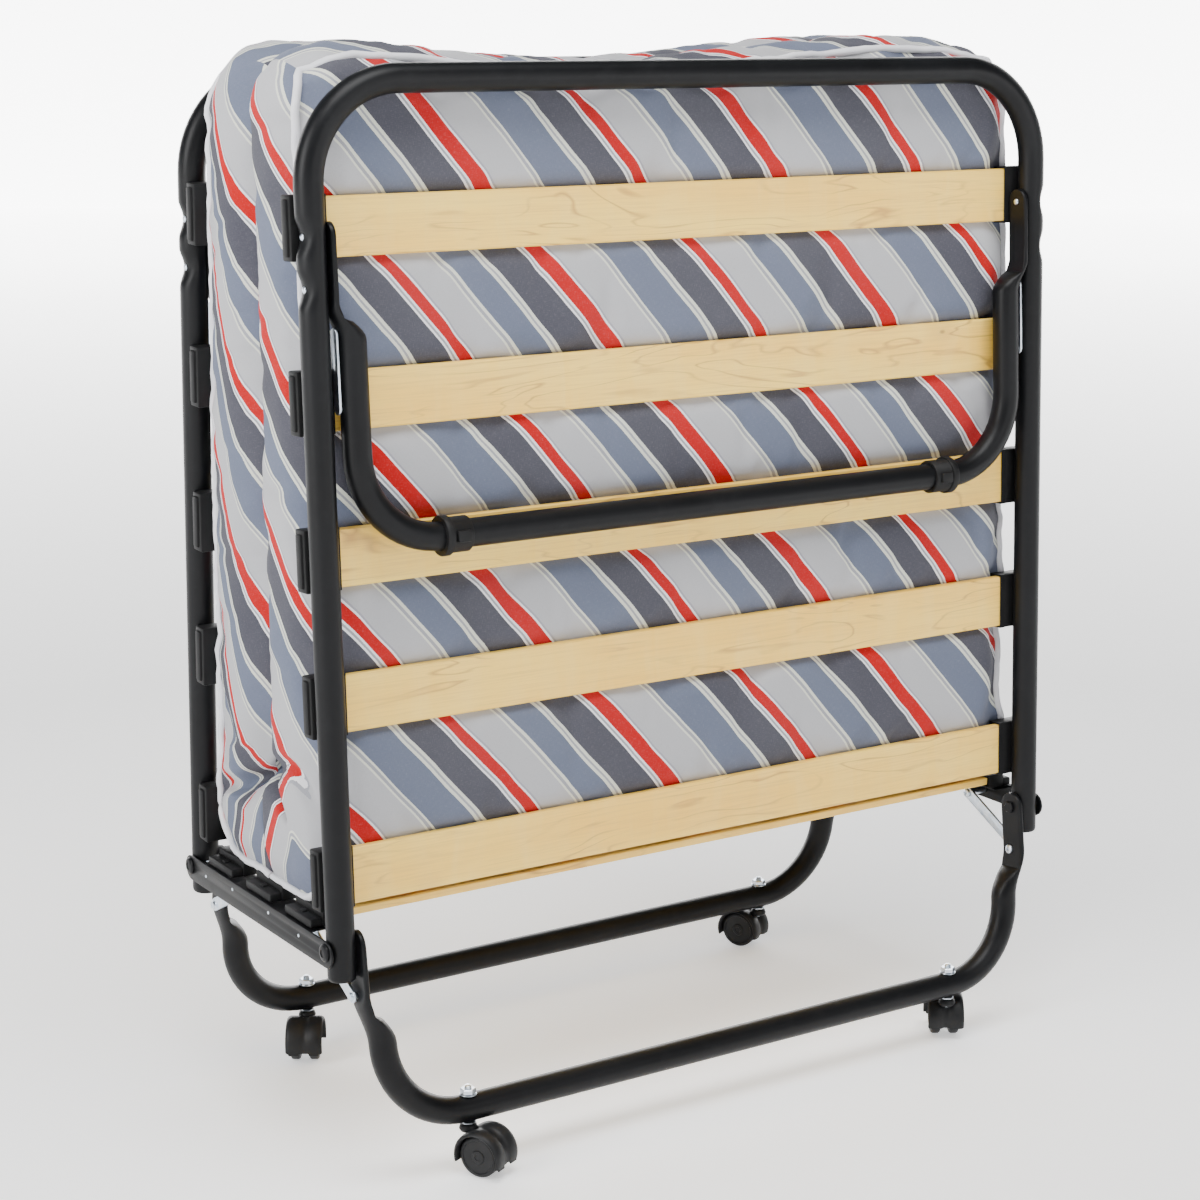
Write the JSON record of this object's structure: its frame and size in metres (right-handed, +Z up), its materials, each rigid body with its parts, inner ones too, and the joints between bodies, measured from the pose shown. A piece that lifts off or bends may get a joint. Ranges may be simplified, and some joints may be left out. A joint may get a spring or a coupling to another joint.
{
  "type": "rollaway bed",
  "caption": "Folding bed on casters: tubular steel sections with wooden slats fold up around a striped mattress and swing-out end legs.",
  "frame": {"origin": "centre of the footprint at floor level, with the bed folded up", "axes": "+Z up; +X along the bed's width; -Y towards the head section; the hinge axes are parallel to X"},
  "size_m": [0.8102, 0.408, 0.978],
  "materials": {
    "black_steel": "satin black powder coat",
    "birch": "clear lacquered birch ply slats",
    "zinc": "bright zinc plate, slightly blue",
    "black_plastic": "moulded black plastic",
    "mattress_cover": "woven cotton with grey, blue-grey and red diagonal stripes"
  },
  "bodies": {
    "middle_section": {"side_rail_left": "black_steel", "side_rail_right": "black_steel", "middle_slat_1": "birch", "middle_slat_2": "birch", "middle_slat_3": "birch", "mattress_middle": "mattress_cover", "caster_leg_head": "black_steel", "hinge_bolt_head_left": "black_steel", "leg_stay_head_left": "zinc", "caster_stem_head_left": "zinc", "hinge_bolt_head_right": "black_steel", "leg_stay_head_right": "zinc", "caster_stem_head_right": "zinc", "caster_leg_foot": "black_steel", "hinge_bolt_foot_left": "black_steel", "leg_stay_foot_left": "zinc", "caster_stem_foot_left": "zinc", "hinge_bolt_foot_right": "black_steel", "leg_stay_foot_right": "zinc", "caster_stem_foot_right": "zinc"},
    "head_section": {"head_frame": "black_steel", "head_slat_1": "birch", "head_slat_2": "birch", "head_slat_3": "birch", "head_slat_4": "birch", "head_slat_5": "birch", "mattress_head": "mattress_cover", "head_leg_rivet_left": "zinc", "head_leg_rivet_right": "zinc"},
    "head_legs": {"head_end_leg": "black_steel", "head_sleeve_left": "black_plastic", "head_sleeve_right": "black_plastic", "head_slide_stay_left": "zinc", "head_slide_stay_right": "zinc"},
    "foot_section": {"foot_frame": "black_steel", "foot_slat_1": "birch", "foot_slat_2": "birch", "foot_slat_3": "birch", "foot_slat_4": "birch", "foot_slat_5": "birch", "mattress_foot": "mattress_cover", "foot_leg_rivet_left": "zinc", "foot_leg_rivet_right": "zinc"},
    "foot_legs": {"foot_end_leg": "black_steel", "foot_sleeve_left": "black_plastic", "foot_sleeve_right": "black_plastic", "foot_slide_stay_left": "zinc", "foot_slide_stay_right": "zinc"},
    "caster_head_left": {"caster_hood_head_left": "black_plastic"},
    "wheel_head_left_a": {"caster_wheel_head_left_a": "black_plastic"},
    "wheel_head_left_b": {"caster_wheel_head_left_b": "black_plastic"},
    "caster_head_right": {"caster_hood_head_right": "black_plastic"},
    "wheel_head_right_a": {"caster_wheel_head_right_a": "black_plastic"},
    "wheel_head_right_b": {"caster_wheel_head_right_b": "black_plastic"},
    "caster_foot_left": {"caster_hood_foot_left": "black_plastic"},
    "wheel_foot_left_a": {"caster_wheel_foot_left_a": "black_plastic"},
    "wheel_foot_left_b": {"caster_wheel_foot_left_b": "black_plastic"},
    "caster_foot_right": {"caster_hood_foot_right": "black_plastic"},
    "wheel_foot_right_a": {"caster_wheel_foot_right_a": "black_plastic"},
    "wheel_foot_right_b": {"caster_wheel_foot_right_b": "black_plastic"}
  },
  "joints": [
    {"name": "head_fold", "type": "hinge", "parent": "middle_section", "child": "head_section", "pos_m": [0, -0.139, 0.222], "axis": [1, 0, 0], "range_deg": [0, 92.2]},
    {"name": "head_leg_swing", "type": "hinge", "parent": "head_section", "child": "head_legs", "pos_m": [0, -0.1158, 0.82595], "axis": [-1, 0, 0], "range_deg": [0, 125]},
    {"name": "foot_fold", "type": "hinge", "parent": "middle_section", "child": "foot_section", "pos_m": [0, 0.139, 0.222], "axis": [-1, 0, 0], "range_deg": [0, 92.2]},
    {"name": "foot_leg_swing", "type": "hinge", "parent": "foot_section", "child": "foot_legs", "pos_m": [0, 0.1158, 0.82595], "axis": [1, 0, 0], "range_deg": [0, 125]},
    {"name": "caster_swivel_head_left", "type": "hinge", "parent": "middle_section", "child": "caster_head_left", "pos_m": [-0.276, -0.1595, 0.03], "axis": [0, 0, 1], "continuous": true},
    {"name": "wheel_spin_head_left_a", "type": "hinge", "parent": "caster_head_left", "child": "wheel_head_left_a", "pos_m": [-0.26774, -0.17549, 0.019], "axis": [0.8884, 0.4592, 0], "continuous": true},
    {"name": "wheel_spin_head_left_b", "type": "hinge", "parent": "caster_head_left", "child": "wheel_head_left_b", "pos_m": [-0.26774, -0.17549, 0.019], "axis": [0.8884, 0.4592, 0], "continuous": true},
    {"name": "caster_swivel_head_right", "type": "hinge", "parent": "middle_section", "child": "caster_head_right", "pos_m": [0.276, -0.1595, 0.03], "axis": [0, 0, 1], "continuous": true},
    {"name": "wheel_spin_head_right_a", "type": "hinge", "parent": "caster_head_right", "child": "wheel_head_right_a", "pos_m": [0.28573, -0.14436, 0.019], "axis": [-0.8412, 0.5408, 0], "continuous": true},
    {"name": "wheel_spin_head_right_b", "type": "hinge", "parent": "caster_head_right", "child": "wheel_head_right_b", "pos_m": [0.28573, -0.14436, 0.019], "axis": [-0.8412, 0.5408, 0], "continuous": true},
    {"name": "caster_swivel_foot_left", "type": "hinge", "parent": "middle_section", "child": "caster_foot_left", "pos_m": [-0.276, 0.1595, 0.03], "axis": [0, 0, 1], "continuous": true},
    {"name": "wheel_spin_foot_left_a", "type": "hinge", "parent": "caster_foot_left", "child": "wheel_foot_left_a", "pos_m": [-0.28573, 0.14436, 0.019], "axis": [0.8412, -0.5408, 0], "continuous": true},
    {"name": "wheel_spin_foot_left_b", "type": "hinge", "parent": "caster_foot_left", "child": "wheel_foot_left_b", "pos_m": [-0.28573, 0.14436, 0.019], "axis": [0.8412, -0.5408, 0], "continuous": true},
    {"name": "caster_swivel_foot_right", "type": "hinge", "parent": "middle_section", "child": "caster_foot_right", "pos_m": [0.276, 0.1595, 0.03], "axis": [0, 0, 1], "continuous": true},
    {"name": "wheel_spin_foot_right_a", "type": "hinge", "parent": "caster_foot_right", "child": "wheel_foot_right_a", "pos_m": [0.26774, 0.17549, 0.019], "axis": [-0.8884, -0.4592, 0], "continuous": true},
    {"name": "wheel_spin_foot_right_b", "type": "hinge", "parent": "caster_foot_right", "child": "wheel_foot_right_b", "pos_m": [0.26774, 0.17549, 0.019], "axis": [-0.8884, -0.4592, 0], "continuous": true}
  ]
}
